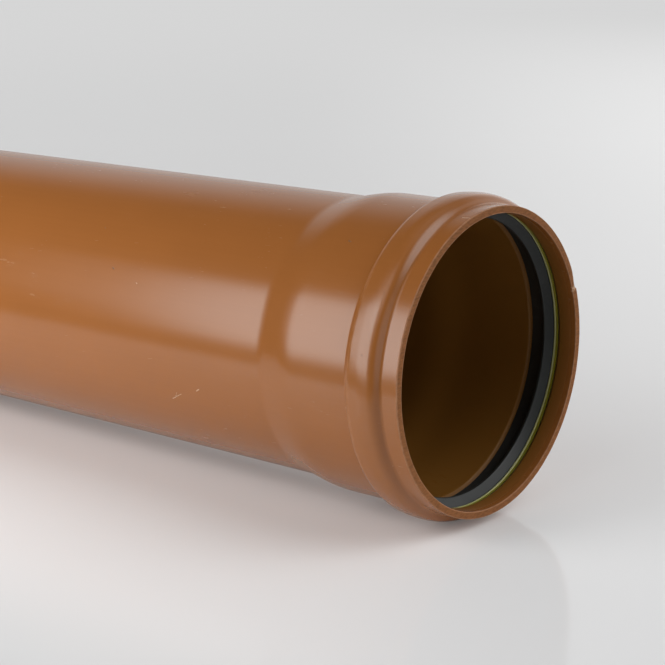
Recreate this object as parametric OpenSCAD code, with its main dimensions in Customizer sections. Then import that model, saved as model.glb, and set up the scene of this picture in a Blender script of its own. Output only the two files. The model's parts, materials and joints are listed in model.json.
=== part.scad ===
// Drainage pipe in orange-brown PVC-U: one length of solid-wall pipe with a plain chamfered spigot
// at one end and a formed ring-seal socket at the other, its captive rubber seal and the seal's
// stiff support ring. It lies as it does on a floor: on the crest of the socket's bead and on the
// bottom edge of the spigot, so its axis rises slightly towards the socket's mouth.
//
// Contours are lists of [s, r]: s runs along the axis from the mouth into the pipe, and r is the radius.

/* [Barrel] */
// Outside diameter of the barrel and the spigot
pipe_od = 160; // [110:1:315]
// Wall thickness of the barrel
wall = 4; // [3:0.1:8]
// Laying length, from the spigot's end to the shoulder inside the socket
laying_length = 1000; // [300:10:6000]
// Length of the chamfer on the spigot, along the axis
chamfer_length = 7.5; // [3:0.5:9]
// Angle between the chamfer and the axis
chamfer_angle = 15; // [8:1:18]

/* [Socket] */
// What the socket's bore has over the outside of the spigot that it takes, on the diameter
socket_play = 0.5; // [0.3:0.1:1.2]
// Wall thickness of the socket behind the bead
socket_wall = 3.75; // [3:0.05:6]
// Depth of the socket, from its mouth to the shoulder
socket_depth = 76; // [60:1:120]
// Length of the taper from the socket down to the barrel
taper_length = 20; // [13:1:40]
// Radius that rounds the socket into the taper
taper_shoulder = 65; // [20:5:70]
// Radius that blends the taper into the barrel
taper_foot = 30; // [10:5:60]

/* [Mouth] */
// Wall thickness of the lip in front of the bead
lip_wall = 4.15; // [3:0.05:6]
// Length of the cylindrical land inside the lip
lip_length = 11; // [8:0.5:20]
// Radius on the edges of the mouth
mouth_edge = 0.4; // [0.2:0.1:1]

/* [Bead] */
// Depth of the seal groove inside the bead, from the socket's bore
groove_depth = 6; // [5.5:0.1:8]
// Width of the seal groove where it opens into the bore
groove_width = 20.8; // [18:0.2:26]
// Distance from the groove's front edge back to its deepest point
groove_crown = 9.2; // [8.6:0.2:12]
// How much shallower the groove is at both ends of its arched top
groove_arch = 0.7; // [0.2:0.1:1.2]
// Angle between the groove's front ramp and the axis
ramp_angle = 50; // [45:1:60]
// Angle between the groove's rear slope and the axis
rear_angle = 55; // [50:1:65]
// Wall thickness of the bead, stretched thinner than the rest
bead_wall = 3.3; // [2.5:0.1:5]
// Outside radius where the lip meets the bead's ramp
foot_blend = 2.5; // [1:0.5:5]
// Outside radius on top of the ramp
crest_blend = 7; // [3:0.5:8]
// Outside radius over the bead's widest point
crown_blend = 25; // [10:5:30]
// Outside radius on the bead's rear edge
rear_blend = 5; // [1:0.5:7]
// Outside radius where the bead drops to the socket
step_blend = 2.5; // [1:0.5:4]
// Radius on the groove's edges, inside the bead
groove_blend = 1.5; // [0.5:0.5:2]

/* [Seal] */
// Clearance between the groove, the support ring and the seal
seat_gap = 0.2; // [0.1:0.05:0.4]
// Thickness of the support ring
ring_wall = 2.2; // [1.8:0.1:2.6]
// Set-back of the support ring's land from the socket's bore
ring_setback = 1; // [0.8:0.05:1.6]
// Length of the support ring along the top of the groove
ring_heel = 2.5; // [1.5:0.5:3.5]
// Width of the fine groove around the support ring's land
ring_flute = 1; // [0.5:0.1:1.2]
// How far the relaxed sealing lip reaches inside the spigot's outside surface
lip_bite = 3.8; // [2:0.1:4.5]
// Angle between the sealing lip's face and the axis
lip_angle = 60; // [50:1:70]
// Width of the sealing lip's tip, along the axis
lip_tip = 1.8; // [1:0.1:2.5]
// Width of the sealing lip's root, along the axis
lip_root = 5; // [4:0.5:6]
// Thickness of the seal's heel, which fills the rear of the groove
heel_thickness = 3.4; // [3.2:0.1:4]

/* [Hidden] */
$fn = 180;
BLEND_ERROR = 0.01;    // how far a blend's chords may leave its true arc

spigot_r = pipe_od / 2;
bore_r = (pipe_od + socket_play) / 2;
barrel_bore_r = spigot_r - wall;
overall_length = laying_length + socket_depth;
taper_end = socket_depth + taper_length;
groove_end = lip_length + groove_width;
groove_r = bore_r + groove_depth;
lip_r = bore_r + lip_wall;
socket_r = bore_r + socket_wall;

// ---- plane geometry on [s, r] points ----

// The point at radius r on the line through p that rises at angle a
function at_radius(p, a, r) = [p.x + (r - p.y) / tan(a), r];

// The point at distance s along the axis on the line through p that rises at angle a
function at_depth(p, a, s) = [s, p.y + (s - p.x) * tan(a)];

// Where the line through p at angle a meets the line through q at angle b
function meet(p, a, q, b) =
    let (t = ((q.x - p.x) * sin(b) - (q.y - p.y) * cos(b)) / sin(b - a))
    p + t * [cos(a), sin(a)];

// The direction from p to q
function heading(p, q) = atan2(q.y - p.y, q.x - p.x);

// A point moved d square to a line at angle a, away from the axis where d is positive
function beside(p, a, d) = p + d * [-sin(a), cos(a)];

// A contour moved outwards by d, with its ends kept at radii r0 and r1
function shifted(c, d, r0, r1) =
    let (last = len(c) - 2,
         a = [for (i = [0:last]) heading(c[i], c[i + 1])],
         p = [for (i = [0:last]) beside(c[i], a[i], d)])
    concat([at_radius(p[0], a[0], r0)],
        [for (i = [1:last]) meet(p[i - 1], a[i - 1], p[i], a[i])],
        [at_radius(p[last], a[last], r1)]);

// The arc that rounds the corner b between a and c; the radius shrinks where a leg is too short
function rounded(a, b, c, radius) =
    let (ua = (a - b) / norm(a - b), uc = (c - b) / norm(c - b),
         half = acos(max(-1, min(1, ua * uc))) / 2,
         reach = min(radius / tan(half), 0.49 * norm(a - b), 0.49 * norm(c - b)),
         rho = reach * tan(half),
         centre = b + (ua + uc) / norm(ua + uc) * rho / sin(half),
         from = heading(centre, b + ua * reach),
         turn = (heading(centre, b + uc * reach) - from + 540) % 360 - 180,
         steps = max(2, ceil(abs(turn) / (2 * acos(1 - BLEND_ERROR / rho)))))
    [for (i = [0:steps]) centre + rho * [cos(from + turn * i / steps), sin(from + turn * i / steps)]];

// A contour from a list of corners [s, r, radius]: the ends stay, and each corner between is rounded
function contour(corners) =
    let (n = len(corners), p = [for (c = corners) [c.x, c.y]])
    [for (i = [0:n - 1]) each
        (i == 0 || i == n - 1 || corners[i].z == 0) ? [p[i]] : rounded(p[i - 1], p[i], p[i + 1], corners[i].z)];

function corner(p, radius) = [p.x, p.y, radius];

// ---- contours of the pipe ----

// The groove's own corners: lip edge, top of the ramp, crown, top of the rear slope, edge of the bore
ramp_top = at_radius([lip_length, bore_r], ramp_angle, groove_r - groove_arch);
crown = [lip_length + groove_crown, groove_r];
rear_top = at_radius([groove_end, bore_r], -rear_angle, groove_r - groove_arch);
GROOVE = [[lip_length, bore_r], ramp_top, crown, rear_top, [groove_end, bore_r]];
BEAD = shifted(GROOVE, bead_wall, lip_r, socket_r);
SEAT = shifted(GROOVE, -seat_gap, bore_r, bore_r);

mouth_middle = [0, (bore_r + lip_r) / 2];

outside = contour([
    corner(mouth_middle, 0),
    [0, lip_r, mouth_edge],
    corner(BEAD[0], foot_blend),
    corner(BEAD[1], crest_blend),
    corner(BEAD[2], crown_blend),
    corner(BEAD[3], rear_blend),
    corner(BEAD[4], step_blend),
    [socket_depth, socket_r, taper_shoulder],
    [taper_end, spigot_r, taper_foot],
    [overall_length - chamfer_length, spigot_r, 0],
    [overall_length, spigot_r - chamfer_length * tan(chamfer_angle), 0]
]);

inside = contour([
    [overall_length, barrel_bore_r, 0],
    [taper_end, barrel_bore_r, taper_shoulder],
    [socket_depth, bore_r, taper_shoulder],
    corner(GROOVE[4], groove_blend),
    corner(GROOVE[3], groove_blend),
    corner(GROOVE[2], groove_blend),
    corner(GROOVE[1], groove_blend),
    corner(GROOVE[0], groove_blend),
    [0, bore_r, mouth_edge],
    corner(mouth_middle, 0)
]);

// ---- contours of the rings ----

// The support ring is a plate that lies along the groove's ramp and turns onto its top. Its
// front is cut to a land, which shows inside the lip and has one fine flute near its rear edge.
land_r = bore_r + ring_setback;
crest_angle = heading(SEAT[1], SEAT[2]);
ring_nose = at_radius(SEAT[0], ramp_angle, land_r);
ring_end = SEAT[1] + ring_heel * [cos(crest_angle), sin(crest_angle)];
ring_knee = meet(beside(SEAT[1], ramp_angle, -ring_wall), ramp_angle,
    beside(SEAT[1], crest_angle, -ring_wall), crest_angle);
land_end = at_radius(ring_knee, ramp_angle, land_r);
flute = [land_end.x - ring_flute, land_r];

support_ring_section = contour([
    corner(ring_nose, 0),
    corner(SEAT[1], groove_blend),
    corner(ring_end, 0),
    corner(beside(ring_end, crest_angle, -ring_wall), 0),
    corner(ring_knee, 0),
    corner(land_end, 0),
    corner(flute + [ring_flute / 2, 0], 0),
    corner(flute + [0, ring_flute / 2], 0),
    corner(flute - [ring_flute / 2, 0], 0)
]);

// The seal starts flush with the support ring's land, falls to the lip, is hollow behind the lip so
// that it can fold back over a spigot, and fills the rear of the groove with its heel.
lip_tip_r = spigot_r - lip_bite;
toe = at_radius(beside(land_end, ramp_angle, -seat_gap), ramp_angle, land_r);
tip = at_radius(toe, -lip_angle, lip_tip_r);
arch_angle = heading(SEAT[2], SEAT[3]);
heel_face = beside(SEAT[2], arch_angle, -heel_thickness);
throat = at_depth(heel_face, arch_angle, toe.x + lip_root);
heel = meet(heel_face, arch_angle, SEAT[3], -rear_angle);
seal_knee = meet(beside(ring_knee, ramp_angle, -seat_gap), ramp_angle,
    beside(ring_knee, crest_angle, -seat_gap), crest_angle);
past_ring = ring_end + seat_gap * [cos(crest_angle), sin(crest_angle)];

seal_section = contour([
    corner(toe, 0),
    corner(tip, lip_tip / 2),
    corner(tip + [lip_tip, 0], lip_tip / 2),
    corner(throat, groove_blend),
    corner(heel, 0),
    corner(SEAT[3], groove_blend),
    corner(SEAT[2], groove_blend),
    corner(past_ring, 0),
    corner(beside(past_ring, crest_angle, -ring_wall - seat_gap), 0),
    corner(seal_knee, 0),
    corner(toe, 0)
]);

// ---- how the pipe lies ----

// It rests on the widest point of the bead and on the foot of the spigot's chamfer
bead_rest = [for (p = outside) if (p.y == max([for (q = outside) q.y])) p][0];
spigot_rest = [overall_length - chamfer_length, spigot_r];
rest_tilt = atan2(bead_rest.y - spigot_rest.y, spigot_rest.x - bead_rest.x);
mouth_x = max([for (p = outside) p.y * sin(rest_tilt) - p.x * cos(rest_tilt)]);
spigot_x = min([for (p = outside) -p.y * sin(rest_tilt) - p.x * cos(rest_tilt)]);
axis_height = max([for (p = outside) p.y * cos(rest_tilt) + p.x * sin(rest_tilt)]);

module lying_down() {
    translate([-(mouth_x + spigot_x) / 2, 0, axis_height])
        rotate([0, 90 - rest_tilt, 0])
            children();
}

// A section turned about the axis, with the mouth at the top
module turned(section) {
    rotate_extrude()
        polygon([for (p = section) [p.y, -p.x]]);
}

module pipe() {
    color("#b0693a")
        lying_down()
            turned(concat(outside, [for (i = [0:len(inside) - 2]) inside[i]]));
}

module support_ring() {
    color("#a8a02c")
        lying_down()
            turned(support_ring_section);
}

module seal() {
    color("#303234")
        lying_down()
            turned([for (i = [0:len(seal_section) - 2]) seal_section[i]]);
}

pipe();
support_ring();
seal();
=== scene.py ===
"""Finishes one plastic drainage pipe: the pipe with its socket, the ring seal and its support ring."""
import json
import math

import bpy
from mathutils import Euler, Matrix, Vector


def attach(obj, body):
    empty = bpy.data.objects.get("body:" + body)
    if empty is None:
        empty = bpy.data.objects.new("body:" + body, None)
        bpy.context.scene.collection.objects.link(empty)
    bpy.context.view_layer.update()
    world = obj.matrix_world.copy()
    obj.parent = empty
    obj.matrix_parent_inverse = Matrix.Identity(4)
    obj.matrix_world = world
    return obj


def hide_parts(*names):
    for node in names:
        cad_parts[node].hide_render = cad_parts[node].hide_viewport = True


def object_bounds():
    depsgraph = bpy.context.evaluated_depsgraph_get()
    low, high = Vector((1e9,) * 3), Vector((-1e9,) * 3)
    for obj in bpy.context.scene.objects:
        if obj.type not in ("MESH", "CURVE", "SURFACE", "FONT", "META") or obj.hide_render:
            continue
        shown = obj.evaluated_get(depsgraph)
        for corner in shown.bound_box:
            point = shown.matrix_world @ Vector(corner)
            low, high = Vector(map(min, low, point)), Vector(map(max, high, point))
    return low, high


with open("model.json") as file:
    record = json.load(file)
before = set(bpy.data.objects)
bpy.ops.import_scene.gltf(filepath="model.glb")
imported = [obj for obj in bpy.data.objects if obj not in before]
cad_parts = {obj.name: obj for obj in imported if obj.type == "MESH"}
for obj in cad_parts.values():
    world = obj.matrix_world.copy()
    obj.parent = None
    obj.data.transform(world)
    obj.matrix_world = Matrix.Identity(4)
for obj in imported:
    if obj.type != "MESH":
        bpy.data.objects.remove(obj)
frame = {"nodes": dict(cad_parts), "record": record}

bl_info = {
    "name": "Drainage Pipe",
    "version": (1, 0, 0),
    "blender": (4, 5, 0),
    "location": "3D View > Sidebar > Pipe",
    "description": "Turns a socketed drainage pipe, its seal and its support ring, and lights them",
    "category": "Add Mesh",
}

CAD_BOX = [list(corner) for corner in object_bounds()]
BODY = "root"
MM = 0.001


# ---- what the frame says about the pipe ----

def mount(name):
    """The frame's mount of that name."""
    return next(m for m in frame["record"]["mounts"] if m["name"] == name)


SPIGOT = mount("spigot")
SOCKET_MOUTH = mount("socket_mouth")
SHOULDER = mount("socket")
SPIGOT_R = SPIGOT["dims"]["r_mm"] * MM
BORE_R = SOCKET_MOUTH["dims"]["r_mm"] * MM
AXIS = Vector(SOCKET_MOUTH["axis"]).normalized()
TILT = math.asin(AXIS.z)
# How far along the axis each point of the CAD pipe lies, which gives its two ends
REACH = [AXIS.dot(v.co) for v in frame["nodes"]["pipe"].data.vertices]
OVERALL = max(REACH) - min(REACH)
MOUTH = Vector(SOCKET_MOUTH["pos_m"]) + AXIS * (max(REACH) - AXIS.dot(Vector(SOCKET_MOUTH["pos_m"])))
SOCKET_DEPTH = AXIS.dot(MOUTH - Vector(SHOULDER["pos_m"]))


# Soft patches of light in the world: heading from the mouth's, rise and half width in degrees, then radiance
WORLD_LIGHT = (
    (45, 10, 42, 1.2),      # low, past the mouth on the far side
    (90, 10, 42, 0.9),      # low, straight across on the far side
    (135, 10, 42, 0.65),    # low, past the spigot on the far side
    (-110, 8, 34, 0.5),     # low, on the near side
    (-100, 42, 30, 1.2),    # half-way up on the near side
    (18, 48, 29, 2.8),      # half-way up in front of the mouth
    (-25, 8, 30, 0.9),      # low, in front of the mouth on the near side
    (90, 75, 35, 0.3),      # overhead
)

# Softboxes on the near side: where each stands, what it faces, its width and height in metres, and over how
# much of it its left, right, lower and upper sides fade
NEAR_SOFTBOX = ((0.05, -0.6175, 0.30), (0.05, 0.0, 0.0825), (0.67, 0.68), (0.27, 0.0, 0.18, 0.22))
SIDE_SOFTBOX = ((-0.35, -0.603, 0.36), (-0.35, 0.0, 0.1475), (0.15, 0.50), (0.05, 0.3, 0.15, 0.1))

# The table top: how it shines, how softly its cut-off edges end, how far it spreads and in how many sides
TABLE_GLOSS = {"Roughness": 0.1, "Specular IOR Level": 0.18, "IOR": 1.45}
TABLE_SOFTNESS = 10 * MM
TABLE_RADIUS = 9.0
TABLE_SIDES = 96
SENSOR_WIDTH = 36.0

# Radii on the fine edges of the support ring and the seal
FINE_EDGE = 0.15 * MM
FLUTE_BOTTOM = 0.1 * MM
LAND_EDGE = 0.12 * MM
HEEL_EDGE = 0.2 * MM

# How far apart points lie: along the pipe, on the ring and the seal, along the lip and across its face
BARREL_PITCH = 18 * MM
FINE_PITCH = 2 * MM
LIP_PITCH = 1.2 * MM
FACE_PITCH = 0.6 * MM

# Noise scales, in features per metre or so, and how far the hair lines lean from the pipe's length
GRAIN = {"wander": 16.0, "breaks": 420.0, "chip": 700.0, "marks": 900.0, "saw": 900.0}
HAIR_ANGLE = 0.16


# ---- sizes and colours that a user may change ----

def length(name, text, millimetres):
    """A length, given in millimetres."""
    return bpy.props.FloatProperty(name=name, description=text, default=millimetres * MM,
                                   subtype="DISTANCE", unit="LENGTH", precision=4)


def angle(name, text, degrees):
    """An angle, given in degrees."""
    return bpy.props.FloatProperty(name=name, description=text, default=math.radians(degrees),
                                   subtype="ANGLE")


def colour(name, text, value):
    """A colour, given as linear red, green and blue."""
    return bpy.props.FloatVectorProperty(name=name, description=text, default=value, size=3, subtype="COLOR",
                                         min=0, max=1)


def number(name, text, value, low=0.0, high=1.0):
    """A plain number between two ends."""
    return bpy.props.FloatProperty(name=name, description=text, default=value, min=low, max=high)


class PipeSizes(bpy.types.PropertyGroup):
    """Sizes of the pipe's wall, socket and bead"""
    wall: length("Wall", "Wall thickness of the barrel", 4)
    socket_wall: length("Socket wall", "Wall thickness behind the bead", 3.75)
    lip_wall: length("Lip wall", "Wall thickness of the lip in front of the bead", 4.15)
    lip_length: length("Lip length", "Length of the land inside the lip", 11)
    mouth_edge: length("Mouth edge", "Radius on the edges of the mouth", 0.4)
    taper_length: length("Taper", "Length of the taper from the socket to the barrel", 20)
    taper_shoulder: length("Taper shoulder", "Radius that rounds the socket into the taper", 65)
    taper_foot: length("Taper foot", "Radius that blends the taper into the barrel", 30)
    groove_depth: length("Groove depth", "Depth of the seal groove from the bore", 6)
    groove_width: length("Groove width", "Width of the seal groove at the bore", 20.8)
    groove_crown: length("Groove crown", "Distance from the groove's front edge to its deepest point", 9.2)
    groove_arch: length("Groove arch", "How much shallower the groove is at both ends of its top", 0.7)
    bead_wall: length("Bead wall", "Wall thickness of the bead", 3.3)
    foot_blend: length("Foot blend", "Outside radius between lip and ramp", 2.5)
    crest_blend: length("Crest blend", "Outside radius on top of the ramp", 7)
    crown_blend: length("Crown blend", "Outside radius over the bead's widest point", 25)
    rear_blend: length("Rear blend", "Outside radius on the bead's rear edge", 5)
    step_blend: length("Step blend", "Outside radius where the bead drops to the socket", 2.5)
    groove_blend: length("Groove blend", "Radius on the groove's own edges", 1.5)
    chamfer_length: length("Chamfer", "Length of the spigot's chamfer", 7.5)
    unevenness: length("Unevenness", "How far the drawn surface wanders inwards", 0.06)
    ragged_edge: length("Ragged edge", "How far the sawn edges are broken back", 0.07)
    chip_depth: length("Chip", "Depth of the chip knocked out of the mouth's outer edge", 1.0)
    chip_start: angle("Chip start", "Where the chip starts to rise, from the level of the axis", 29)
    chip_end: angle("Chip end", "Where the chip ends abruptly", 19.6)


class SealSizes(bpy.types.PropertyGroup):
    """Sizes of the seal and its support ring"""
    seat_gap: length("Seat gap", "Clearance in the groove", 0.2)
    ring_wall: length("Ring wall", "Thickness of the support ring", 2.2)
    ring_setback: length("Ring set-back", "Set-back of the ring's land from the bore", 1)
    ring_heel: length("Ring heel", "Length of the ring along the top of the groove", 2.5)
    ring_flute: length("Ring flute", "Width of the fine flute around the ring's land", 1)
    lip_bite: length("Lip bite", "Reach of the relaxed lip inside the spigot's outside", 3.8)
    lip_tip: length("Lip tip", "Width of the lip's tip", 1.8)
    lip_root: length("Lip root", "Width of the lip's root", 5)
    heel_thickness: length("Heel", "Thickness of the seal's heel", 3.4)


class PipeFinish(bpy.types.PropertyGroup):
    """Colours and gloss of the materials"""
    pipe_colour: colour("Pipe", "Orange-brown of the pipe", (0.329, 0.118, 0.030))
    # Painted shade: the bore is given a darker brown than the outside of the pipe
    shaded_bore_colour: colour("Bore", "Deeper, duller brown of the bore", (0.215, 0.092, 0.015))
    cut_colour: colour("Cut face", "Matt brown of the sawn faces", (0.25, 0.100, 0.036))
    rubber_colour: colour("Rubber", "Black of the seal", (0.016, 0.0185, 0.0178))
    ring_colour: colour("Support ring", "Yellow-green of the support ring", (0.31, 0.29, 0.022))
    rub_colour: colour("Rubs", "Paler tone of the dull rubs", (0.60, 0.38, 0.22))
    # The worn edges' pale tone is partly rubbed wear and partly a painted highlight; the edge line is a
    # painted highlight along each sawn edge
    worn_and_highlight_colour: colour("Worn edges", "Paler tone of the worn edges", (0.55, 0.30, 0.16))
    edge_highlight_colour: colour("Edge line", "Tone of the line along each sawn edge", (0.50, 0.28, 0.18))
    fresh_colour: colour("Fresh breaks", "Pale tone of scratches and of the chip", (0.75, 0.53, 0.36))
    fleck_colour: colour("Flecks", "Dark tone of the flecks of dirt", (0.06, 0.035, 0.02))
    bloom_colour: colour("Bloom", "Grey bloom on the rubber", (0.12, 0.12, 0.12))
    # Painted highlight: the pale line along the support ring's edges
    ring_highlight_colour: colour("Ring line", "Pale tone of the support ring's rubbed edges", (0.60, 0.62, 0.34))
    pipe_roughness: number("Pipe roughness", "Roughness of the drawn surface", 0.2)


class StageLook(bpy.types.PropertyGroup):
    """Floor, backdrop and light"""
    floor_colour: colour("Floor", "Colour of the table top", (0.865, 0.865, 0.87))
    glow_colour: colour("Glow", "Colour that the table top glows with towards the camera", (1.0, 1.0, 1.0))
    floor_glow: number("Glow strength", "How strongly the table top glows towards the camera", 0.07)
    backdrop_colour: colour("Backdrop", "Colour behind the table top", (0.67, 0.67, 0.67))
    table_edge: length("Table edge", "How far the table's front edge is from the pipe's axis", 320)
    table_end: length("Table end", "How far the table top reaches in front of the mouth", 780)
    fade_start: length("Fade start", "Distance at which the table top starts to fade out", 900)
    fade_end: length("Fade end", "Distance at which the table top has faded out", 4000)
    front_fade: length("Front fade", "How far from the axis the table top starts to fade to its edge", 180)
    softbox_strength: number("Softbox", "Radiance of the near softbox", 3.75, 0, 20)
    side_strength: number("Side softbox", "Radiance of the dim softbox beside the near one", 0.5, 0, 20)
    camera_place: bpy.props.FloatVectorProperty(
        name="Camera", description="Where the camera stands", default=(1.0718, -0.7741, 0.3362), size=3,
        subtype="XYZ", unit="LENGTH")
    camera_pitch: angle("Pitch", "Angle of the view from straight down", 76.2215)
    camera_azimuth: angle("Azimuth", "Heading of the view", 39.8357)
    camera_lens: number("Lens", "Focal length in millimetres", 98.602, 1, 1000)


# ---- plane geometry on (depth from the mouth, radius) points ----

ANGLES = {name: math.radians(degrees) for name, degrees in
          (("ramp", 50), ("rear", 55), ("lip", 60), ("chamfer", 15))}


def at_radius(p, angle, r):
    """Where the line through a point at an angle has a given radius."""
    return Vector((p.x + (r - p.y) / math.tan(angle), r))


def at_depth(p, angle, s):
    """Where the line through a point at an angle has a given depth."""
    return Vector((s, p.y + (s - p.x) * math.tan(angle)))


def heading(p, q):
    """The angle of the line from one point to another."""
    return math.atan2(q.y - p.y, q.x - p.x)


def along(angle, distance):
    """A step of a given length at an angle."""
    return Vector((math.cos(angle), math.sin(angle))) * distance


def beside(p, angle, distance):
    """The point moved square to an angle, outwards where the distance is positive."""
    return p + Vector((-math.sin(angle), math.cos(angle))) * distance


def meet(p, a, q, b):
    """Where the line through p at angle a meets the line through q at angle b."""
    t = ((q.x - p.x) * math.sin(b) - (q.y - p.y) * math.cos(b)) / math.sin(b - a)
    return p + along(a, t)


def shifted(c, distance, r_first, r_last):
    """Corners moved outwards by a distance, with the ends kept at two radii."""
    a = [heading(p, q) for p, q in zip(c, c[1:])]
    moved = [beside(p, turn, distance) for p, turn in zip(c, a)]
    between = [meet(moved[i - 1], a[i - 1], moved[i], a[i]) for i in range(1, len(a))]
    return [at_radius(moved[0], a[0], r_first), *between, at_radius(moved[-1], a[-1], r_last)]


def groove_corners(sizes):
    """The lip's edge, the top of the ramp, the crown, the top of the rear slope and the edge of the bore."""
    r = BORE_R + sizes.groove_depth
    start = Vector((sizes.lip_length, BORE_R))
    crown = Vector((sizes.lip_length + sizes.groove_crown, r))
    end = Vector((sizes.lip_length + sizes.groove_width, BORE_R))
    return [start, at_radius(start, ANGLES["ramp"], r - sizes.groove_arch), crown,
            at_radius(end, -ANGLES["rear"], r - sizes.groove_arch), end]


# ---- sections: closed loops of corners, each with its blend radius and surface masks ----

class Section:
    """A closed section to be turned: corners with the radius that rounds each and what the surface is there.

    Each corner has three masks: cut for sawn faces; wear for edges that get rubbed, where a pale painted
    highlight goes too; dull for the inside, which is rougher, less shiny and painted a darker brown as shade,
    and for the support ring's nose, which is painted darker as shade.
    """

    HOLD = 0.4 * MM    # how far past a blend the first point along a straight lies

    def __init__(self):
        self.points, self.blends, self.masks, self.pitches = [], [], [], []

    def corner(self, p, blend=0.0, cut=0.0, wear=0.0, dull=0.0, pitch=None):
        """Adds a corner; pitch spaces the points along the straight that follows it."""
        self.points.append(Vector((p[0], p[1])))
        self.blends.append(blend)
        self.masks.append((cut, wear, dull))
        self.pitches.append(pitch)

    def held(self, usual_pitch):
        """The section with points added beside each blend and along each straight, so that it shades true."""
        out = Section()
        n = len(self.points)
        for i in range(n):
            p, q = self.points[i], self.points[(i + 1) % n]
            out.corner(p, self.blends[i], *self.masks[i])
            reach_p, reach_q = self.reach(i) + self.HOLD, self.reach((i + 1) % n) + self.HOLD
            run = (q - p).length
            if run <= reach_p + reach_q:
                continue
            steps = max(1, math.ceil((run - reach_p - reach_q) / (self.pitches[i] or usual_pitch)))
            for k in range(steps + 1):
                d = reach_p + (run - reach_p - reach_q) * k / steps
                near = self.masks[i] if d < run / 2 else self.masks[(i + 1) % n]
                sawn = min(self.masks[i][0], self.masks[(i + 1) % n][0])
                out.corner(p + (q - p) * d / run, 0.0, sawn, 0.0, near[2])
        return out

    def reach(self, i):
        """How far the blend at a corner reaches along its two legs."""
        here, blend = self.points[i], self.blends[i]
        before, after = self.points[i - 1] - here, self.points[(i + 1) % len(self.points)] - here
        if blend == 0:
            return 0.0
        half = before.angle(after) / 2
        return min(blend / math.tan(half), before.length / 2, after.length / 2)

    def mesh(self, name):
        """A loop of edges in the XY plane, x radius and y depth, with the blends and masks on its points."""
        n = len(self.points)
        area = sum(self.points[i - 1].cross(self.points[i]) for i in range(n))
        if area > 0:
            self.points.reverse()
            self.blends.reverse()
            self.masks.reverse()
        mesh = bpy.data.meshes.new(name)
        mesh.from_pydata([(p.y, p.x, 0.0) for p in self.points], [(i, (i + 1) % n) for i in range(n)], [])
        for key, values in (("blend", self.blends), ("cut", [m[0] for m in self.masks]),
                            ("wear", [m[1] for m in self.masks]), ("dull", [m[2] for m in self.masks])):
            mesh.attributes.new(key, "FLOAT", "POINT").data.foreach_set("value", values)
        return mesh


def pipe_section(sizes):
    """The wall from the mouth over the bead, the socket and the barrel to the spigot, and back inside."""
    groove = groove_corners(sizes)
    lip_r, socket_r, barrel_r = BORE_R + sizes.lip_wall, BORE_R + sizes.socket_wall, SPIGOT_R - sizes.wall
    bead = shifted(groove, sizes.bead_wall, lip_r, socket_r)
    depth = SOCKET_DEPTH
    taper_end = depth + sizes.taper_length
    end = OVERALL
    nose_r = SPIGOT_R - sizes.chamfer_length * math.tan(ANGLES["chamfer"])
    s = Section()
    s.corner((0, lip_r), sizes.mouth_edge, cut=1, wear=1, pitch=LIP_PITCH)
    s.corner(bead[0], sizes.foot_blend)
    s.corner(bead[1], sizes.crest_blend)
    s.corner(bead[2], sizes.crown_blend)
    # The bead's rear edge carries half the wear mask, which paints a pale highlight along it
    s.corner(bead[3], sizes.rear_blend, wear=0.5)
    s.corner(bead[4], sizes.step_blend)
    s.corner((depth, socket_r), sizes.taper_shoulder)
    s.corner((taper_end, SPIGOT_R), sizes.taper_foot)
    s.corner((end - sizes.chamfer_length, SPIGOT_R), wear=0.6)
    s.corner((end, nose_r), cut=1, wear=1)
    # The inside carries the dull mask: rougher, less shiny, and painted a darker brown as shade
    s.corner((end, barrel_r), cut=1, wear=1, dull=1)
    s.corner((taper_end, barrel_r), sizes.taper_shoulder, dull=1)
    s.corner((depth, BORE_R), sizes.taper_shoulder, dull=1)
    for p in reversed(groove):
        s.corner(p, sizes.groove_blend, dull=1)
    s.corner((0, BORE_R), sizes.mouth_edge, cut=1, wear=1, pitch=FACE_PITCH)
    return s


def ring_corners(sizes, seal):
    """The corners that the support ring and the seal share."""
    seat = shifted(groove_corners(sizes), -seal.seat_gap, BORE_R, BORE_R)
    ramp, crest = ANGLES["ramp"], heading(seat[1], seat[2])
    land_r = BORE_R + seal.ring_setback
    knee = meet(beside(seat[1], ramp, -seal.ring_wall), ramp, beside(seat[1], crest, -seal.ring_wall), crest)
    return {"seat": seat, "crest": crest, "land_r": land_r, "knee": knee,
            "nose": at_radius(seat[0], ramp, land_r), "land_end": at_radius(knee, ramp, land_r),
            "end": seat[1] + along(crest, seal.ring_heel)}


def support_ring_section(sizes, seal):
    """A thin plate along the groove's ramp, with a land towards the bore and a fine flute in it."""
    c = ring_corners(sizes, seal)
    flute = Vector((c["land_end"].x - seal.ring_flute, c["land_r"]))
    half = seal.ring_flute / 2
    s = Section()
    # Painted shade: the nose carries the dull mask, which darkens the ring there
    s.corner(c["nose"], FINE_EDGE, dull=1)
    s.corner(flute - Vector((half, 0)), FINE_EDGE)
    s.corner(flute + Vector((0, half)), FLUTE_BOTTOM)
    # The wear mask on this edge and the next paints a pale highlight line along them
    s.corner(flute + Vector((half, 0)), FINE_EDGE, wear=1)
    s.corner(c["land_end"], LAND_EDGE, wear=1)
    s.corner(c["knee"])
    s.corner(beside(c["end"], c["crest"], -seal.ring_wall))
    s.corner(c["end"])
    s.corner(c["seat"][1], sizes.groove_blend)
    return s


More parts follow.
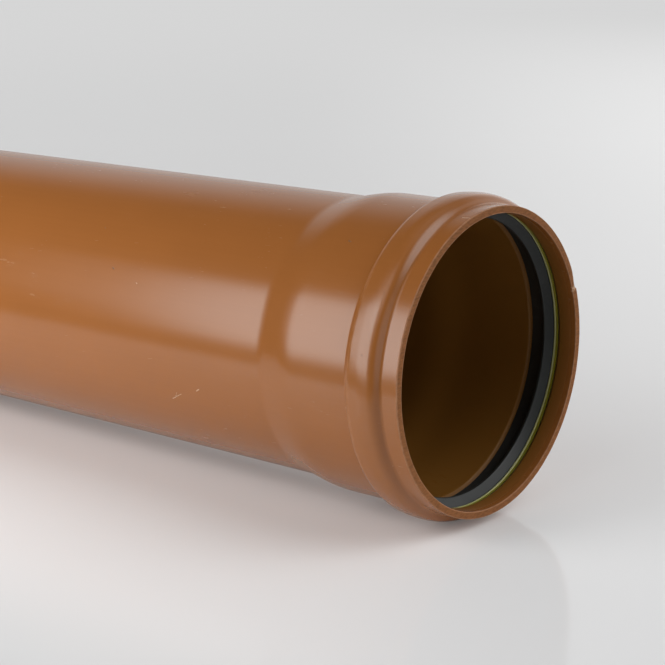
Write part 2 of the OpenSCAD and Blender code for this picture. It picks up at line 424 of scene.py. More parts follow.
def seal_section(sizes, seal):
    """A heel under the top of the groove and a lip that leans into the bore behind the support ring."""
    c = ring_corners(sizes, seal)
    ramp, crest, seat = ANGLES["ramp"], c["crest"], c["seat"]
    toe = at_radius(beside(c["land_end"], ramp, -seal.seat_gap), ramp, c["land_r"])
    tip = at_radius(toe, -ANGLES["lip"], SPIGOT_R - seal.lip_bite)
    arch = heading(seat[2], seat[3])
    face = beside(seat[2], arch, -seal.heel_thickness)
    throat = at_depth(face, arch, toe.x + seal.lip_root)
    past = c["end"] + along(crest, seal.seat_gap)
    s = Section()
    s.corner(toe, FINE_EDGE)
    s.corner(tip, seal.lip_tip / 2)
    s.corner(tip + Vector((seal.lip_tip, 0)), seal.lip_tip / 2)
    s.corner(throat, sizes.groove_blend)
    s.corner(meet(face, arch, seat[3], -ANGLES["rear"]), HEEL_EDGE)
    s.corner(seat[3], sizes.groove_blend)
    s.corner(seat[2], sizes.groove_blend)
    s.corner(past)
    s.corner(beside(past, crest, -seal.ring_wall - seal.seat_gap))
    s.corner(meet(beside(c["knee"], ramp, -seal.seat_gap), ramp,
                  beside(c["knee"], crest, -seal.seat_gap), crest))
    return s


# ---- node trees ----

def node(tree, kind, inputs=None, **settings):
    """A node with its settings and inputs; an input that is another node's output is linked."""
    made = tree.nodes.new(kind)
    for key, value in settings.items():
        setattr(made, key, value)
    for key, value in (inputs or {}).items():
        if isinstance(value, bpy.types.NodeSocket):
            tree.links.new(value, made.inputs[key])
        else:
            made.inputs[key].default_value = value
    return made


def maths(tree, operation, a, b=None, c=None, clamp=False):
    """The result of a Math node."""
    inputs = {i: value for i, value in enumerate((a, b, c)) if value is not None}
    return node(tree, "ShaderNodeMath", inputs, operation=operation, use_clamp=clamp).outputs[0]


def times(tree, a, b):
    """The product of two values."""
    return maths(tree, "MULTIPLY", a, b)


def plus(tree, a, b, clamp=False):
    """The sum of two values."""
    return maths(tree, "ADD", a, b, clamp=clamp)


def larger(tree, a, b):
    """The larger of two values."""
    return maths(tree, "MAXIMUM", a, b)


def vectors(tree, operation, a, b=None, scale=None):
    """The result of a Vector Math node."""
    inputs = {i: value for i, value in enumerate((a, b)) if value is not None}
    if scale is not None:
        inputs["Scale"] = scale
    made = node(tree, "ShaderNodeVectorMath", inputs, operation=operation)
    return made.outputs["Value" if operation in ("DOT_PRODUCT", "LENGTH") else "Vector"]


def stretched(tree, place, x, y, z):
    """A place with each coordinate scaled, so that a pattern on it is drawn out where the scale is small."""
    return vectors(tree, "MULTIPLY", place, (x, y, z))


def remap(tree, value, low, high, to_low=0.0, to_high=1.0):
    """A value carried smoothly from one range to another."""
    inputs = {"Value": value, "From Min": low, "From Max": high, "To Min": to_low, "To Max": to_high}
    return node(tree, "ShaderNodeMapRange", inputs, interpolation_type="SMOOTHSTEP").outputs[0]


def mixed(tree, factor, a, b):
    """Two colours mixed."""
    made = node(tree, "ShaderNodeMix", {0: factor}, data_type="RGBA", clamp_factor=True)
    for socket, value in ((made.inputs[6], a), (made.inputs[7], b)):
        if isinstance(value, bpy.types.NodeSocket):
            tree.links.new(value, socket)
        else:
            socket.default_value = (*value[:3], 1)
    return made.outputs[2]


def noise(tree, vector, scale, detail=2.0, roughness=0.5):
    """The grey value of a Noise Texture."""
    inputs = {"Vector": vector, "Scale": scale, "Detail": detail, "Roughness": roughness}
    return node(tree, "ShaderNodeTexNoise", inputs).outputs[0]


def group_tree(name, kind, inputs, outputs):
    """A node group with named inputs and outputs, and its two end nodes."""
    tree = bpy.data.node_groups.new(name, kind)
    for direction, sockets in (("INPUT", inputs), ("OUTPUT", outputs)):
        for label, socket_type, *default in sockets:
            made = tree.interface.new_socket(label, in_out=direction, socket_type="NodeSocket" + socket_type)
            if default:
                made.default_value = default[0]
    return tree, tree.nodes.new("NodeGroupInput").outputs, tree.nodes.new("NodeGroupOutput").inputs


# ---- the lathe: a section turned about the pipe's axis ----

SHARP = math.radians(32)    # edges that bend more than this shade as edges
CHIP_REACH = 2.2 * MM       # how far the chip spreads from the mouth's outer edge
CHIP_LEAN = 0.55            # how far the chip goes back along the axis for each part that it goes in


def named_value(tree, name):
    """A number that the section's corners carry."""
    return node(tree, "GeometryNodeInputNamedAttribute", {"Name": name}, data_type="FLOAT").outputs[0]


def rounded_and_turned(tree, given):
    """The section with its corners rounded, swept round the axis and shaded."""
    loop = node(tree, "GeometryNodeMeshToCurve", {0: given["Section"]}).outputs[0]
    rounded = node(tree, "GeometryNodeFilletCurve", {
        "Curve": loop, "Count": given["Blend steps"], "Radius": named_value(tree, "blend"),
        "Limit Radius": True}, mode="POLY").outputs[0]
    inset = node(tree, "ShaderNodeCombineXYZ", {"X": times(tree, given["Guide radius"], -1.0)}).outputs[0]
    profile = node(tree, "GeometryNodeTransform", {"Geometry": rounded, "Translation": inset}).outputs[0]
    circle = node(tree, "GeometryNodeCurvePrimitiveCircle", {
        "Resolution": given["Segments"], "Radius": given["Guide radius"]}).outputs[0]
    level = node(tree, "GeometryNodeSetCurveNormal", {"Curve": circle}, mode="Z_UP").outputs[0]
    shell = node(tree, "GeometryNodeCurveToMesh", {"Curve": level, "Profile Curve": profile}).outputs[0]
    bend = node(tree, "GeometryNodeInputMeshEdgeAngle").outputs["Unsigned Angle"]
    soft = node(tree, "FunctionNodeCompare", {0: bend, 1: SHARP}, data_type="FLOAT", operation="LESS_THAN")
    return node(tree, "GeometryNodeSetShadeSmooth", {"Geometry": shell, "Shade Smooth": soft.outputs[0]},
                domain="EDGE").outputs[0]


def worn_shell(tree, given, shell, place):
    """The shell with its surface wandering a little and its rubbed edges broken back."""
    drawn = stretched(tree, place, 1.0, 1.0, 0.15)
    wander = times(tree, noise(tree, drawn, GRAIN["wander"]), given["Unevenness"])
    breaks = remap(tree, noise(tree, place, GRAIN["breaks"], detail=3.0), 0.42, 0.72)
    broken = times(tree, times(tree, breaks, named_value(tree, "wear")), given["Ragged edge"])
    depth = times(tree, plus(tree, wander, broken), -1.0)
    inwards = vectors(tree, "SCALE", node(tree, "GeometryNodeInputNormal").outputs[0], scale=depth)
    return node(tree, "GeometryNodeSetPosition", {"Geometry": shell, "Offset": inwards}).outputs[0]


def chipped_shell(tree, given, shell, place):
    """The shell with a chip out of the mouth's outer edge, which deepens slowly and ends abruptly."""
    x, y, z = node(tree, "ShaderNodeSeparateXYZ", {0: place}).outputs
    angle = maths(tree, "ARCTAN2", times(tree, x, -1.0), y)
    slope = remap(tree, angle, given["Chip start"], given["Chip end"])
    sudden = maths(tree, "GREATER_THAN", angle, given["Chip end"])
    from_axis = stretched(tree, place, 1.0, 1.0, 0.0)
    below = maths(tree, "SUBTRACT", given["Rim radius"], vectors(tree, "LENGTH", from_axis))
    near_rim = remap(tree, larger(tree, below, times(tree, z, -1.0)), 0.0, CHIP_REACH, 1.0, 0.0)
    rough = remap(tree, noise(tree, place, GRAIN["chip"]), 0.2, 0.8, 0.6, 1.1)
    bite = times(tree, times(tree, slope, sudden), times(tree, near_rim, rough))
    inward = vectors(tree, "SCALE", vectors(tree, "NORMALIZE", from_axis), scale=-1.0)
    leaning = vectors(tree, "NORMALIZE", vectors(tree, "ADD", inward, (0.0, 0.0, -CHIP_LEAN)))
    chip = vectors(tree, "SCALE", leaning, scale=times(tree, bite, given["Chip depth"]))
    marked = node(tree, "GeometryNodeStoreNamedAttribute", {"Geometry": shell, "Name": "chip", "Value": bite},
                  data_type="FLOAT", domain="POINT").outputs[0]
    return node(tree, "GeometryNodeSetPosition", {"Geometry": marked, "Offset": chip}).outputs[0]


def lathe_tree():
    """Geometry Nodes that round a section's corners, turn it, wear it and put it on the pipe's axis."""
    tree, given, out = group_tree("Turned section", "GeometryNodeTree", [
        ("Section", "Geometry"), ("Segments", "Int", 360), ("Blend steps", "Int", 6),
        ("Guide radius", "Float", 0.08), ("Unevenness", "Float", 0.0), ("Ragged edge", "Float", 0.0),
        ("Chip depth", "Float", 0.0), ("Chip start", "Float", 0.0), ("Chip end", "Float", 0.0),
        ("Rim radius", "Float", 0.0), ("Place", "Vector"), ("Turn", "Rotation"),
        ("Material", "Material")], [("Piece", "Geometry")])
    place = node(tree, "GeometryNodeInputPosition").outputs[0]
    shell = worn_shell(tree, given, rounded_and_turned(tree, given), place)
    shell = chipped_shell(tree, given, shell, place)
    bare = node(tree, "GeometryNodeRemoveAttribute", {"Geometry": shell, "Name": "blend"}).outputs[0]
    placed = node(tree, "GeometryNodeTransform", {"Geometry": bare, "Translation": given["Place"],
                                                  "Rotation": given["Turn"]}).outputs[0]
    real = node(tree, "GeometryNodeRealizeInstances", {0: placed}).outputs[0]
    done = node(tree, "GeometryNodeSetMaterial", {"Geometry": real, "Material": given["Material"]}).outputs[0]
    tree.links.new(done, out["Piece"])
    return tree


def turn_piece(name, section, material, pitch, **settings):
    """Turns a section about the pipe's axis into the object that stands for the CAD node of that name."""
    tree = bpy.data.node_groups.get("Turned section") or lathe_tree()
    blank = bpy.data.objects.new(name + "_section", section.held(pitch).mesh(name + "_section"))
    bpy.context.collection.objects.link(blank)
    lathe = blank.modifiers.new("Lathe", "NODES")
    lathe.node_group = tree
    values = {"Guide radius": BORE_R, "Place": MOUTH, "Turn": (0.0, math.pi / 2 - TILT, 0.0),
              "Material": material, **settings}
    for item in tree.interface.items_tree:
        if item.in_out == "INPUT" and item.name in values:
            lathe[item.identifier] = values[item.name]
    evaluated = blank.evaluated_get(bpy.context.evaluated_depsgraph_get())
    mesh = bpy.data.meshes.new_from_object(evaluated)
    mesh.name = name
    blank_mesh = blank.data
    bpy.data.objects.remove(blank)
    bpy.data.meshes.remove(blank_mesh)
    piece = bpy.data.objects.new(name + "_turned", mesh)
    bpy.context.collection.objects.link(piece)
    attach(piece, BODY)
    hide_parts(name)


# ---- shared finishes: node groups that give masks and heights ----

def shared_group(name, inputs, outputs, build):
    """The shader group of that name, built the first time that it is asked for."""
    tree = bpy.data.node_groups.get(name)
    if tree is None:
        tree, given, out = group_tree(name, "ShaderNodeTree", inputs, outputs)
        build(tree, given, out)
    return tree


def along_axis_group():
    """Carries a place on the pipe into its own frame: x along the axis, y and z across it."""
    def build(tree, given, out):
        to_mouth = Matrix.Rotation(TILT, 3, "Y") @ MOUTH
        level = node(tree, "ShaderNodeMapping", {"Vector": given["Place"], "Location": -to_mouth,
                                                 "Rotation": (0.0, TILT, 0.0)}).outputs[0]
        tree.links.new(level, out["Place"])
    return shared_group("Pipe frame", [("Place", "Vector")], [("Place", "Vector")], build)


def drawn_lines_group():
    """Fine lines that the die leaves along an extruded or moulded wall."""
    def build(tree, given, out):
        place, scale = given["Place"], given["Scale"]
        fine = noise(tree, stretched(tree, place, 0.02, 1.0, 1.0), scale, detail=3.0, roughness=0.7)
        broad = noise(tree, stretched(tree, place, 0.12, 1.0, 1.0), times(tree, scale, 0.12), detail=1.0)
        tree.links.new(plus(tree, times(tree, fine, 0.35), times(tree, broad, 0.65)), out["Height"])
        tree.links.new(remap(tree, fine, 0.35, 0.7), out["Streak"])
    return shared_group("Drawn lines", [("Place", "Vector"), ("Scale", "Float", 400.0)],
                        [("Height", "Float"), ("Streak", "Float")], build)


def scuffs_group():
    """Short dull rubs in scattered patches, and fine hair lines that run mostly lengthwise."""
    def build(tree, given, out):
        place, patches, grain = given["Place"], given["Patches"], given["Grain"]
        patch = remap(tree, noise(tree, place, patches), 0.5, 0.7)
        rub = stretched(tree, place, 0.35, 1.0, 1.6)
        rubs = remap(tree, noise(tree, rub, grain, detail=4.0, roughness=0.65), 0.54, 0.74)
        turned = node(tree, "ShaderNodeVectorRotate", {"Vector": place, "Angle": HAIR_ANGLE},
                      rotation_type="Y_AXIS")
        thin = stretched(tree, turned.outputs[0], 0.03, 1.0, 1.0)
        hair = remap(tree, noise(tree, thin, times(tree, grain, 9.0), detail=1.0), 0.68, 0.8)
        broken = remap(tree, noise(tree, place, times(tree, patches, 3.0)), 0.52, 0.66)
        tree.links.new(times(tree, patch, rubs), out["Rubs"])
        tree.links.new(times(tree, hair, broken), out["Hairs"])
    inputs = [("Place", "Vector"), ("Patches", "Float", 14.0), ("Grain", "Float", 160.0)]
    return shared_group("Scuffs", inputs, [("Rubs", "Float"), ("Hairs", "Float")], build)


def mark_group():
    """One small mark: a scratch between two points, broken along its length, or a fleck if they are close."""
    def build(tree, given, out):
        run = vectors(tree, "SUBTRACT", given["To"], given["From"])
        here = vectors(tree, "SUBTRACT", given["Place"], given["From"])
        share = maths(tree, "DIVIDE", vectors(tree, "DOT_PRODUCT", here, run),
                      vectors(tree, "DOT_PRODUCT", run, run), clamp=True)
        off = vectors(tree, "SUBTRACT", here, vectors(tree, "SCALE", run, scale=share))
        torn = remap(tree, noise(tree, given["Place"], GRAIN["marks"]), 0.3, 0.7, 0.3, 1.5)
        ragged = times(tree, given["Width"], torn)
        far = vectors(tree, "LENGTH", off)
        tree.links.new(remap(tree, far, times(tree, ragged, 0.4), ragged, 1.0, 0.0), out["Mark"])
    inputs = [("Place", "Vector"), ("From", "Vector"), ("To", "Vector"), ("Width", "Float")]
    return shared_group("Mark", inputs, [("Mark", "Float")], build)


def grain_group():
    """The slight orange peel and cloudiness of moulded plastic or rubber."""
    def build(tree, given, out):
        tree.links.new(noise(tree, given["Place"], given["Scale"]), out["Peel"])
        cloud = noise(tree, given["Place"], times(tree, given["Scale"], 0.03), detail=3.0)
        tree.links.new(cloud, out["Cloud"])
    return shared_group("Moulded grain", [("Place", "Vector"), ("Scale", "Float", 900.0)],
                        [("Peel", "Float"), ("Cloud", "Float")], build)


def edge_wear_and_highlight_group():
    """Where an edge that carries the wear mask is rubbed pale, partly as a painted highlight, and the even
    line along its very corner, a painted highlight.
    """
    def build(tree, given, out):
        torn = noise(tree, given["Place"], given["Scale"], detail=3.0, roughness=0.6)
        tree.links.new(times(tree, given["Edge"], remap(tree, torn, 0.3, 0.75)), out["Worn"])
        line = times(tree, remap(tree, given["Edge"], 0.66, 0.92), remap(tree, torn, 0.2, 0.6, 0.5, 1.0))
        tree.links.new(line, out["Line"])
    return shared_group("Edge wear and highlight", [("Place", "Vector"), ("Edge", "Float"), ("Scale", "Float", 260.0)],
                        [("Worn", "Float"), ("Line", "Float")], build)


# Small damage, in millimetres in the pipe's own frame (x along the axis from the mouth, negative behind it; y
# across; z up): where each mark starts, where it ends, and its half width. The last pale one lies on the
# mouth's face, where the chip ends.
PALE_MARKS = (
    ((-146.4, -76.4, -23.5), (-144.2, -76.8, -22.2), 0.45),
    ((-168.3, -73.1, -32.4), (-160, -74.9, -28), 0.3),
    ((-165.5, -73.6, -31.2), (-163.5, -74.9, -27.9), 0.22),
    ((-5, -23, 81.2), (-0.8, -22.3, 81.4), 0.4),
    ((-194.5, -73.7, 31.1), (-193.8, -73.9, 30.6), 0.4),
    ((-0.8, 78.3, 27.9), (0, 76.6, 27.9), 1.9),
)
DARK_MARKS = (
    ((-20.1, -87.6, 19.1), (-19.6, -87.7, 18.8), 0.45),
    ((-58.1, -50.4, 67.2), (-56.8, -50.8, 66.9), 0.5),
    ((-215.7, -71.1, 36.6), (-214.9, -71.3, 36.2), 0.55),
    ((-235.9, -57.4, 55.7), (-235.2, -57.6, 55.5), 0.5),
)


def toned(value, factor):
    """A colour made lighter or darker."""
    return [min(1, part * factor) for part in value]


class Finish:
    """A material under construction: its tree, its shader and its place in the pipe's frame."""

    def __init__(self, name):
        self.material = bpy.data.materials.new(name)
        self.material.use_nodes = True
        self.tree = self.material.node_tree
        self.shader = self.tree.nodes["Principled BSDF"]
        here = node(self.tree, "ShaderNodeTexCoord").outputs["Object"]
        self.place = self.group(along_axis_group(), Place=here)["Place"]

    def group(self, tree, **inputs):
        """Places a shared group and gives its outputs."""
        made = node(self.tree, "ShaderNodeGroup", node_tree=tree)
        for key, value in inputs.items():
            if isinstance(value, bpy.types.NodeSocket):
                self.tree.links.new(value, made.inputs[key])
            else:
                made.inputs[key].default_value = value
        return made.outputs

    def marks(self, places):
        """The strongest of several small marks at each point."""
        total = None
        for start, end, width in places:
            mark = self.group(mark_group(), Place=self.place, From=Vector(start) * MM, To=Vector(end) * MM,
                              Width=width * MM)["Mark"]
            total = mark if total is None else larger(self.tree, total, mark)
        return total

    def mask(self, name):
        """A number that the mesh carries."""
        return node(self.tree, "ShaderNodeAttribute", attribute_name=name).outputs["Fac"]

    def over(self, under, mask, share, value):
        """A colour laid over another where a mask is, at most at a share of its strength."""
        return mixed(self.tree, times(self.tree, mask, share), under, value)

    def constants(self, **values):
        """Sets sockets of the shader that are the same all over."""
        for key, value in values.items():
            self.shader.inputs[key.replace("_", " ")].default_value = value

    def link(self, **values):
        """Links sockets of the shader to what changes over the surface."""
        for key, value in values.items():
            self.tree.links.new(value, self.shader.inputs[key.replace("_", " ")])

    def bump(self, height, distance):
        """Relief from a height."""
        made = node(self.tree, "ShaderNodeBump", {"Height": height, "Distance": distance})
        self.link(Normal=made.outputs[0])


def pipe_plastic(finish):
    """Satin-gloss PVC: drawn lines, slight clouds, dull rubs and scratches, and matt sawn faces."""
    look = Finish("pipe_plastic")
    tree, place = look.tree, look.place
    lines = look.group(drawn_lines_group(), Place=place, Scale=420.0)
    scuffs = look.group(scuffs_group(), Place=place, Patches=13.0, Grain=170.0)
    grain = look.group(grain_group(), Place=place, Scale=700.0)
    edges = look.group(edge_wear_and_highlight_group(), Place=place, Edge=look.mask("wear"), Scale=260.0)
    worn, line, bore = edges["Worn"], edges["Line"], look.mask("dull")
    cut = times(tree, look.mask("cut"), maths(tree, "MULTIPLY_ADD", line, -0.45, 1.0))
    pale, dark = look.marks(PALE_MARKS), look.marks(DARK_MARKS)
    marked = larger(tree, pale, dark)
    chip = maths(tree, "POWER", look.mask("chip"), 3.0)
    saw = noise(tree, stretched(tree, place, 1.0, 0.3, 1.0), GRAIN["saw"], detail=3.0)

    base = finish.pipe_colour
    body = mixed(tree, grain["Cloud"], toned(base, 0.95), toned(base, 1.05))
    body = look.over(body, lines["Streak"], 0.08, toned(base, 1.3))
    body = look.over(body, scuffs["Rubs"], 0.08, finish.rub_colour)
    # Painted shade: the inside takes the darker bore brown
    body = mixed(tree, bore, body, finish.shaded_bore_colour)
    face = finish.cut_colour
    sawn = mixed(tree, remap(tree, saw, 0.3, 0.7), toned(face, 0.8), toned(face, 1.25))
    body = mixed(tree, cut, body, sawn)
    # Paler on the worn edges, partly rubbed wear and partly a painted highlight, and a painted highlight line
    # along each sawn edge
    body = look.over(body, worn, 0.25, finish.worn_and_highlight_colour)
    body = look.over(body, line, 0.4, finish.edge_highlight_colour)
    fresh = larger(tree, times(tree, pale, 0.65), times(tree, chip, 0.8))
    body = mixed(tree, fresh, body, finish.fresh_colour)
    body = look.over(body, dark, 0.75, finish.fleck_colour)

    dull = plus(tree, times(tree, scuffs["Rubs"], 0.2), times(tree, cut, 0.32))
    dull = plus(tree, dull, times(tree, larger(tree, worn, scuffs["Hairs"]), 0.15))
    dull = plus(tree, dull, times(tree, marked, 0.3))
    rough = plus(tree, dull, finish.pipe_roughness, clamp=True)
    rough = plus(tree, rough, times(tree, bore, 0.25), clamp=True)
    shine = remap(tree, larger(tree, look.mask("cut"), times(tree, bore, 0.6)), 0.0, 1.0, 0.5, 0.06)

    skin = plus(tree, times(tree, lines["Height"], 0.6), times(tree, grain["Peel"], 0.12))
    skin = maths(tree, "SUBTRACT", skin, times(tree, marked, 2.0))
    height = plus(tree, skin, times(tree, times(tree, saw, cut), 0.7))
    look.link(Base_Color=body, Roughness=rough, Specular_IOR_Level=shine)
    look.bump(height, 0.05 * MM)
    look.constants(IOR=1.53)
    return look.material


def seal_rubber(finish):
    """Black rubber with a dull bloom and a fine moulded skin."""
    look = Finish("seal_rubber")
    tree, place = look.tree, look.place
    grain = look.group(grain_group(), Place=place, Scale=1400.0)
    scuffs = look.group(scuffs_group(), Place=place, Patches=30.0, Grain=300.0)
    base = finish.rubber_colour
    body = mixed(tree, grain["Cloud"], toned(base, 0.8), toned(base, 1.6))
    body = look.over(body, scuffs["Rubs"], 0.25, finish.bloom_colour)
    look.link(Base_Color=body, Roughness=remap(tree, grain["Cloud"], 0.3, 0.7, 0.38, 0.52))
    look.bump(grain["Peel"], 0.03 * MM)
    look.constants(IOR=1.52, Specular_IOR_Level=0.4)
    return look.material


def ring_plastic(finish):
    """Yellow-green moulded polypropylene, a little waxy: a painted highlight along its rear edges, and
    painted shade on its nose.
    """
    look = Finish("ring_plastic")
    tree, place = look.tree, look.place
    grain = look.group(grain_group(), Place=place, Scale=1100.0)
    base = finish.ring_colour
    body = mixed(tree, grain["Cloud"], toned(base, 0.85), toned(base, 1.2))
    # Painted shade: the ring is darker towards its nose, which lies in the groove's shadow
    body = mixed(tree, look.mask("dull"), body, toned(base, 0.45))
    # Painted highlight: a pale line where the ring's edges carry the wear mask
    body = look.over(body, remap(tree, look.mask("wear"), 0.3, 0.8), 0.6, finish.ring_highlight_colour)
    look.link(Base_Color=body, Roughness=remap(tree, grain["Cloud"], 0.3, 0.7, 0.3, 0.45))
    look.bump(grain["Peel"], 0.02 * MM)
    look.constants(IOR=1.49)
    return look.material


# ---- the stage ----

def floor_material(look):
    """A pale satin table top with a soft shadow and a faint reflection.

    The camera sees it fade out far behind and towards its near edge; for the light it ends at its edges.
    """
    material = bpy.data.materials.new("studio_floor")
    material.use_nodes = True
    tree = material.node_tree
    shader = tree.nodes["Principled BSDF"]
    shader.inputs["Base Color"].default_value = (*look.floor_colour, 1)
    for key, value in TABLE_GLOSS.items():
        shader.inputs[key].default_value = value
    seen = node(tree, "ShaderNodeLightPath").outputs["Is Camera Ray"]
    glow = node(tree, "ShaderNodeEmission", {"Color": (*look.glow_colour, 1),
                                             "Strength": times(tree, seen, look.floor_glow)}).outputs[0]
    table = node(tree, "ShaderNodeAddShader", {0: shader.outputs[0], 1: glow}).outputs[0]
    plain = node(tree, "ShaderNodeEmission", {"Color": (*look.backdrop_colour, 1)}).outputs[0]
    here = node(tree, "ShaderNodeTexCoord").outputs["Object"]
    x, y, _ = node(tree, "ShaderNodeSeparateXYZ", {0: here}).outputs
    behind = remap(tree, vectors(tree, "LENGTH", here), look.fade_start, look.fade_end)
    before = remap(tree, y, -look.front_fade, -look.table_edge)
    fade = times(tree, larger(tree, behind, before), seen)
    lit = node(tree, "ShaderNodeMixShader", {0: fade, 1: table, 2: plain}).outputs[0]
    nothing = node(tree, "ShaderNodeBsdfTransparent").outputs[0]
    past_edge = remap(tree, y, -look.table_edge - TABLE_SOFTNESS, -look.table_edge, 1.0, 0.0)
    past_end = remap(tree, x, look.table_end, look.table_end + TABLE_SOFTNESS)
    gone = times(tree, larger(tree, past_edge, past_end), maths(tree, "SUBTRACT", 1.0, seen))
    both = node(tree, "ShaderNodeMixShader", {0: gone, 1: lit, 2: nothing}).outputs[0]
    tree.links.new(both, tree.nodes["Material Output"].inputs["Surface"])
    return material


def lay_floor(look, level):
    """A wide round sheet under the pipe, level with its lowest point."""
    turns = [2 * math.pi * i / TABLE_SIDES for i in range(TABLE_SIDES)]
    ring = [(TABLE_RADIUS * math.cos(a), TABLE_RADIUS * math.sin(a), level) for a in turns]
    mesh = bpy.data.meshes.new("studio_floor")
    mesh.from_pydata(ring, [], [range(TABLE_SIDES)])
    mesh.materials.append(floor_material(look))
    floor = bpy.data.objects.new("studio_floor", mesh)
    bpy.context.collection.objects.link(floor)


def lobe(tree, way, azimuth, rise, width, strength):
    """A soft patch of light in the world around one heading."""
    turn, up = math.radians(azimuth), math.radians(rise)
    aim = (math.cos(up) * math.cos(turn), math.cos(up) * math.sin(turn), math.sin(up))
    near = vectors(tree, "DOT_PRODUCT", way, aim)
    return remap(tree, near, math.cos(math.radians(width)), 1.0, 0.0, strength)


def dome_world(look):
    """Soft patches of light all round; what the camera sees beyond the floor is plain."""
    world = bpy.data.worlds.new("studio")
    world.use_nodes = True
    tree = world.node_tree
    tree.nodes.clear()
    way = node(tree, "ShaderNodeTexCoord").outputs["Generated"]
    level = 0.0
    for patch in WORLD_LIGHT:
        level = plus(tree, level, lobe(tree, way, *patch))
    seen = node(tree, "ShaderNodeLightPath").outputs["Is Camera Ray"]
    lit = node(tree, "ShaderNodeBackground", {"Color": (1, 1, 1, 1), "Strength": level}).outputs[0]
    plain = node(tree, "ShaderNodeBackground", {"Color": (*look.backdrop_colour, 1)}).outputs[0]
    both = node(tree, "ShaderNodeMixShader", {0: seen, 1: lit, 2: plain}).outputs[0]
    node(tree, "ShaderNodeOutputWorld", {"Surface": both})
    bpy.context.scene.world = world


def softbox(name, place, target, size, fades, radiance):
    """A rectangular lamp that faces a point, with a radiance that fades towards its sides."""
    width, height = size
    lamp = bpy.data.lights.new(name, "AREA")
    lamp.shape = "RECTANGLE"
    lamp.size, lamp.size_y = width, height
    lamp.energy = radiance * math.pi * width * height
    lamp.use_nodes = True
    tree = lamp.node_tree
    across, up = node(tree, "ShaderNodeSeparateXYZ", {
        0: node(tree, "ShaderNodeNewGeometry").outputs["Parametric"]}).outputs[:2]
    left, right, low, high = fades
    glow = 1.0
    for spot, side, end in ((across, 0.0, left), (across, 1.0, 1.0 - right),
                            (up, 0.0, low), (up, 1.0, 1.0 - high)):
        if side != end:
            glow = times(tree, glow, remap(tree, spot, side, end))
    tree.links.new(glow, tree.nodes["Emission"].inputs["Strength"])
    box = bpy.data.objects.new(name, lamp)
    facing = (Vector(target) - Vector(place)).to_track_quat("-Z", "Y").to_matrix().to_4x4()
    box.matrix_world = Matrix.Translation(place) @ facing
    box.visible_camera = False
    bpy.context.collection.objects.link(box)


def place_camera(place, pitch, azimuth, lens):
    """The camera, level from side to side."""
    data = bpy.data.cameras.new("camera")
    data.lens, data.sensor_width = lens, SENSOR_WIDTH
    camera = bpy.data.objects.new("camera", data)
    camera.matrix_world = Matrix.Translation(place) @ Euler((pitch, 0.0, azimuth)).to_matrix().to_4x4()
    bpy.context.collection.objects.link(camera)
    bpy.context.scene.camera = camera


# ---- operators, panel and registration ----

def settings():
    """The sizes of the pipe and of the seal, and the finish."""
    return bpy.context.scene.pipe_sizes, bpy.context.scene.seal_sizes, bpy.context.scene.pipe_finish


class PIPE_OT_turn_pipe(bpy.types.Operator):
    """Turn the pipe: barrel, taper, socket, bead, lip and chamfered spigot"""
    bl_idname = "pipe.turn_pipe"
    bl_label = "Pipe"

    def execute(self, context):
        sizes, _, finish = settings()
        wear = {"Unevenness": sizes.unevenness, "Ragged edge": sizes.ragged_edge,
                "Chip depth": sizes.chip_depth, "Chip start": sizes.chip_start, "Chip end": sizes.chip_end,
                "Rim radius": BORE_R + sizes.lip_wall}
        turn_piece("pipe", pipe_section(sizes), pipe_plastic(finish), BARREL_PITCH, **wear)
        return {"FINISHED"}


class PIPE_OT_turn_support_ring(bpy.types.Operator):
    """Turn the support ring that backs the seal in its groove"""
    bl_idname = "pipe.turn_support_ring"
    bl_label = "Support ring"

    def execute(self, context):
        sizes, seal, finish = settings()
        turn_piece("support_ring", support_ring_section(sizes, seal), ring_plastic(finish), FINE_PITCH)
        return {"FINISHED"}


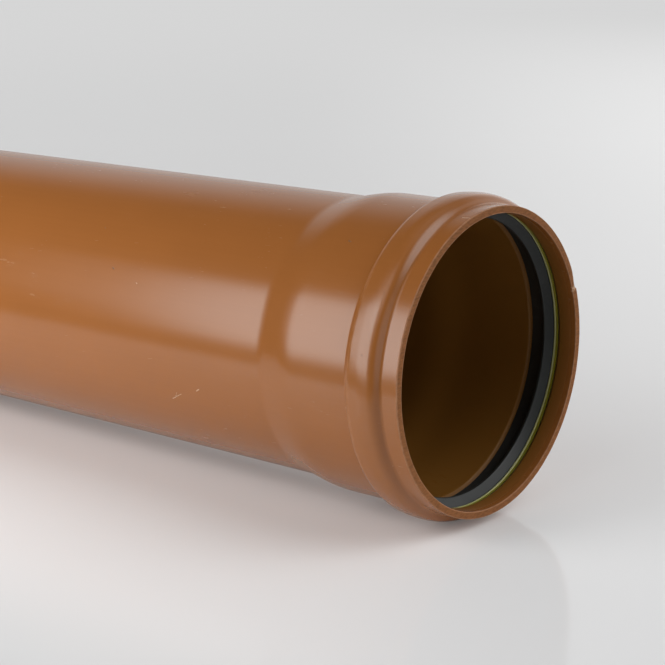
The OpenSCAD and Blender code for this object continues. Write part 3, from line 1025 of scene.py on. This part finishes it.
class PIPE_OT_turn_seal(bpy.types.Operator):
    """Turn the lip seal"""
    bl_idname = "pipe.turn_seal"
    bl_label = "Seal"

    def execute(self, context):
        sizes, seal, finish = settings()
        turn_piece("seal", seal_section(sizes, seal), seal_rubber(finish), FINE_PITCH)
        return {"FINISHED"}


class PIPE_OT_stage(bpy.types.Operator):
    """Lay the floor, light it and set the camera"""
    bl_idname = "pipe.stage"
    bl_label = "Stage"

    def execute(self, context):
        look = context.scene.stage_look
        view = context.scene.view_settings
        view.view_transform = "Standard"
        lay_floor(look, CAD_BOX[0][2])
        dome_world(look)
        softbox("softbox", *NEAR_SOFTBOX, look.softbox_strength)
        softbox("softbox_side", *SIDE_SOFTBOX, look.side_strength)
        place_camera(look.camera_place, look.camera_pitch, look.camera_azimuth, look.camera_lens)
        return {"FINISHED"}


class PIPE_PT_panel(bpy.types.Panel):
    """Sizes, colours and steps of the pipe"""
    bl_idname = "PIPE_PT_panel"
    bl_label = "Drainage pipe"
    bl_space_type = "VIEW_3D"
    bl_region_type = "UI"
    bl_category = "Pipe"

    def draw(self, context):
        for holder in HOLDERS:
            box = self.layout.box()
            group = getattr(context.scene, holder)
            box.label(text=group.__doc__ or holder)
            for name in group.bl_rna.properties.keys():
                if name not in {"rna_type", "name"}:
                    box.prop(group, name)
        for operator in STEPS:
            self.layout.operator(operator.bl_idname)


HOLDERS = {"pipe_sizes": PipeSizes, "seal_sizes": SealSizes, "pipe_finish": PipeFinish,
           "stage_look": StageLook}
STEPS = (PIPE_OT_stage, PIPE_OT_turn_pipe, PIPE_OT_turn_support_ring, PIPE_OT_turn_seal)


def register():
    """Registers the classes and gives the scene its settings."""
    for cls in (*HOLDERS.values(), *STEPS, PIPE_PT_panel):
        bpy.utils.register_class(cls)
    for holder, cls in HOLDERS.items():
        setattr(bpy.types.Scene, holder, bpy.props.PointerProperty(type=cls))


def unregister():
    """Takes the settings and the classes away again."""
    for holder in HOLDERS:
        delattr(bpy.types.Scene, holder)
    for cls in (*HOLDERS.values(), *STEPS, PIPE_PT_panel):
        bpy.utils.unregister_class(cls)


def main():
    """Runs every step in order."""
    register()
    for step in STEPS:
        group, name = step.bl_idname.split(".")
        getattr(getattr(bpy.ops, group), name)()


if __name__ == "__main__":
    main()
